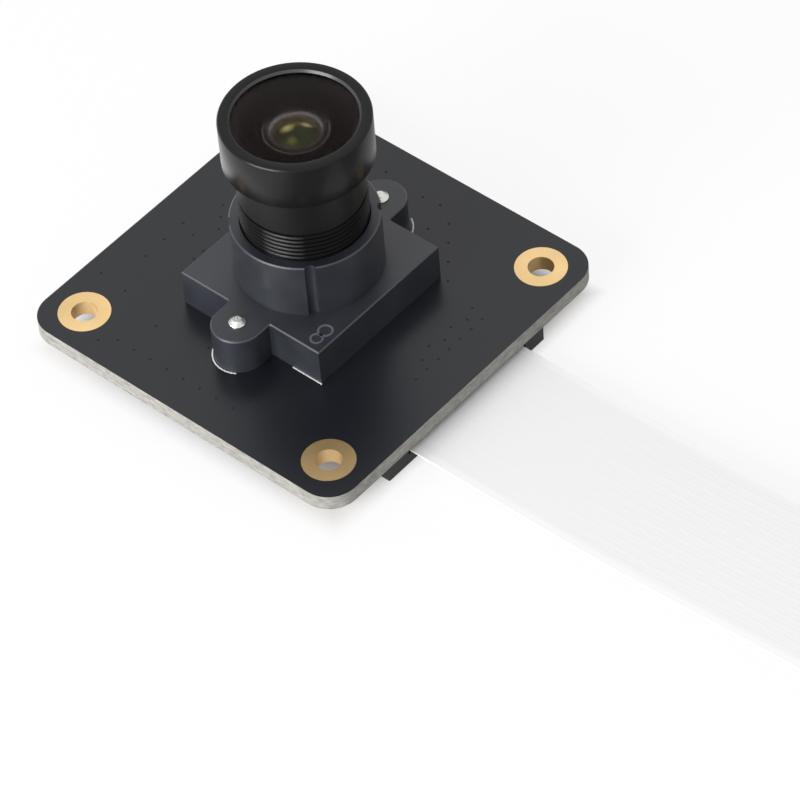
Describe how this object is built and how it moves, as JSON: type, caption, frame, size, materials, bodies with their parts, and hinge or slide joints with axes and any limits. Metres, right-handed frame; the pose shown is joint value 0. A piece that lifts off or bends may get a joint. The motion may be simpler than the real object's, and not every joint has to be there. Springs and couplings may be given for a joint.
{
  "type": "camera module",
  "caption": "Square black circuit board with a screw-in wide-angle lens in a square holder, and a flat white ribbon cable in a latching socket underneath.",
  "frame": {"origin": "centre of the four mounting holes, on the underside of the circuit board", "axes": "+Z out of the board through the lens, +X to the board edge where the ribbon cable leaves, +Y along that edge"},
  "size_m": [0.1829, 0.038, 0.0266],
  "materials": {
    "solder_mask": "semi-gloss black coating over glass-fibre laminate",
    "gold_plating": "matt gold plating",
    "holder_plastic": "satin black moulding",
    "screw_steel": "bright zinc plating",
    "black_anodised": "black anodised, satin",
    "coated_glass": "polished, dark coating",
    "seal_rubber": "matt",
    "green_coated_glass": "polished, yellow-green coating",
    "clear_optical_glass": "polished",
    "filter_glass": "polished, pale blue-green",
    "ceramic_package": "matt dark ceramic",
    "silicon": "iridescent",
    "connector_plastic": "satin black moulding",
    "tinned_metal": "satin tin plating",
    "ribbon_film": "smooth white film with faint lines",
    "stiffener_film": "smooth blue film",
    "can_metal": "satin",
    "chip_resin": "matt moulding resin",
    "capacitor_ceramic": "matt tan ceramic",
    "resistor_ceramic": "matt black top"
  },
  "bodies": {
    "board": {"circuit_board": "solder_mask", "hole_plating": "gold_plating", "lens_holder": "holder_plastic", "holder_screws": "screw_steel", "sensor_carrier": "ceramic_package", "sensor_die": "silicon", "sensor_window": "clear_optical_glass", "connector_housing": "connector_plastic", "connector_contacts": "tinned_metal", "connector_tabs": "tinned_metal", "ribbon_cable": "ribbon_film", "near_stiffener": "stiffener_film", "near_contacts": "tinned_metal", "far_stiffener": "stiffener_film", "far_contacts": "tinned_metal", "oscillator_base": "ceramic_package", "oscillator_lid": "can_metal", "memory_chip": "chip_resin", "memory_leads": "tinned_metal", "regulators": "chip_resin", "regulator_leads": "tinned_metal", "capacitors": "capacitor_ceramic", "resistors": "resistor_ceramic", "chip_terminals": "tinned_metal"},
    "optics": {"front_element": "coated_glass", "second_element": "green_coated_glass", "front_spacer": "black_anodised", "third_element": "clear_optical_glass", "aperture_stop": "black_anodised", "doublet_front": "clear_optical_glass", "doublet_rear": "clear_optical_glass", "rear_spacer": "black_anodised", "rear_element": "clear_optical_glass"},
    "barrel": {"lens_barrel": "black_anodised", "front_seal": "seal_rubber", "rear_retainer": "black_anodised", "infrared_filter": "filter_glass"},
    "slider": {"connector_slider": "connector_plastic"}
  },
  "joints": [
    {"name": "focus_travel", "type": "slide", "parent": "board", "child": "optics", "axis": [0, 0, 1], "range_m": [-0.0005, 0.0005]},
    {"name": "focus_turn", "type": "hinge", "parent": "optics", "child": "barrel", "pos_m": [0, 0, 0.012], "axis": [0, 0, 1], "range_deg": [-360, 360]},
    {"name": "latch_slide", "type": "slide", "parent": "board", "child": "slider", "axis": [1, 0, 0], "range_m": [0, 0.0012]}
  ],
  "couplings": [
    {"joint": "focus_turn", "follows": "focus_travel", "rad_per_m": 12566}
  ]
}
